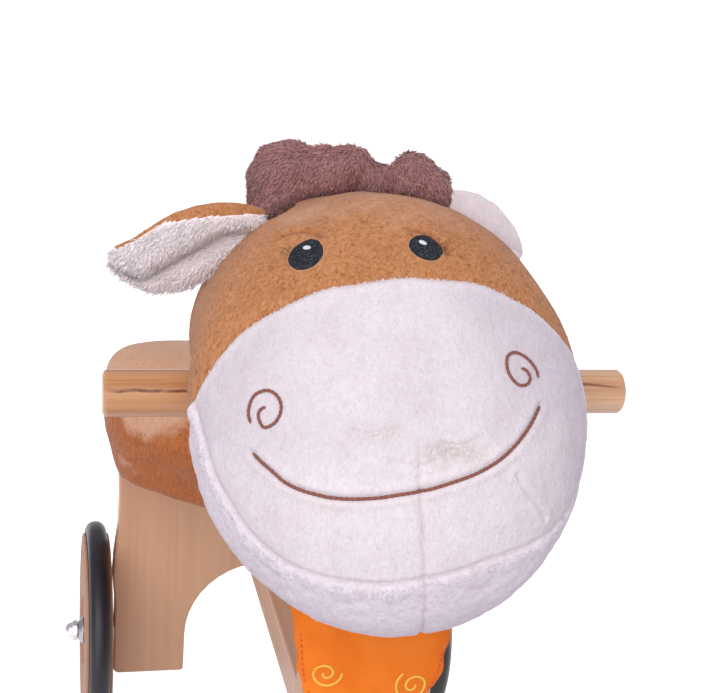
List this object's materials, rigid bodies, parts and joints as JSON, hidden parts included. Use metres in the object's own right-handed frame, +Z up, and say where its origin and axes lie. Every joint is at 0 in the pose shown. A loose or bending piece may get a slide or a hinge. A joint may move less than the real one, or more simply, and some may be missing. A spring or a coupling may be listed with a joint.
{
  "type": "ride-on toy horse",
  "caption": "Ride-on toy horse with a stuffed plush head on an upright neck board, a wooden handlebar, a padded seat, a plywood chassis and free-rolling wooden wheels with rubber tyres.",
  "frame": {"origin": "on the floor, under the middle of the bounding box", "axes": "+Z up, the horse looks towards -Y, its left side is +X, and the wheels turn about X"},
  "size_m": [0.3188, 0.5592, 0.5595],
  "materials": {
    "wood": "clear satin lacquer on plywood",
    "wood_bar": "clear satin lacquer on a turned hardwood bar",
    "wood_disc": "clear satin lacquer on a turned disc",
    "rubber": "matt black rubber",
    "steel": "zinc plated",
    "chrome": "polished",
    "nylon": "natural nylon",
    "plush_brown": "short-pile plush",
    "plush_mane": "long-pile plush",
    "cotton": "woven cotton"
  },
  "bodies": {
    "horse": {"bandana": "cotton", "bar_block": "wood", "block_screw_lower": "steel", "block_screw_upper": "steel", "cap_nut_front_left": "chrome", "cap_nut_front_right": "chrome", "cap_nut_rear_left": "chrome", "cap_nut_rear_right": "chrome", "chassis_beam": "wood", "ear_left": "plush_brown", "ear_right": "plush_brown", "front_board": "wood", "front_screw_left": "steel", "front_screw_right": "steel", "handlebar": "wood_bar", "handlebar_pin": "steel", "head": "plush_brown", "inner_washer_front_left": "steel", "inner_washer_front_right": "steel", "inner_washer_rear_left": "steel", "inner_washer_rear_right": "steel", "mane": "plush_mane", "neck_sleeve": "plush_brown", "outer_washer_front_left": "steel", "outer_washer_front_right": "steel", "outer_washer_rear_left": "steel", "outer_washer_rear_right": "steel", "rear_board": "wood", "rear_screw_left": "steel", "rear_screw_right": "steel", "seat_board": "wood", "seat_cushion": "plush_brown", "seat_front_screw_left": "steel", "seat_front_screw_right": "steel", "seat_rear_screw_left": "steel", "seat_rear_screw_right": "steel", "stud_front_left": "steel", "stud_front_right": "steel", "stud_rear_left": "steel", "stud_rear_right": "steel", "tail": "plush_mane"},
    "wheel_front_left": {"wheel_disc_front_left": "wood_disc", "tyre_front_left": "rubber", "bush_front_left": "nylon"},
    "wheel_front_right": {"wheel_disc_front_right": "wood_disc", "tyre_front_right": "rubber", "bush_front_right": "nylon"},
    "wheel_rear_left": {"wheel_disc_rear_left": "wood_disc", "tyre_rear_left": "rubber", "bush_rear_left": "nylon"},
    "wheel_rear_right": {"wheel_disc_rear_right": "wood_disc", "tyre_rear_right": "rubber", "bush_rear_right": "nylon"}
  },
  "joints": [
    {"name": "spin_front_left", "type": "hinge", "parent": "horse", "child": "wheel_front_left", "pos_m": [0.1346, -0.15915, 0.08778], "axis": [1, 0, 0], "continuous": true},
    {"name": "spin_front_right", "type": "hinge", "parent": "horse", "child": "wheel_front_right", "pos_m": [-0.1346, -0.15915, 0.08778], "axis": [1, 0, 0], "continuous": true},
    {"name": "spin_rear_left", "type": "hinge", "parent": "horse", "child": "wheel_rear_left", "pos_m": [0.1346, 0.19185, 0.08778], "axis": [1, 0, 0], "continuous": true},
    {"name": "spin_rear_right", "type": "hinge", "parent": "horse", "child": "wheel_rear_right", "pos_m": [-0.1346, 0.19185, 0.08778], "axis": [1, 0, 0], "continuous": true}
  ]
}
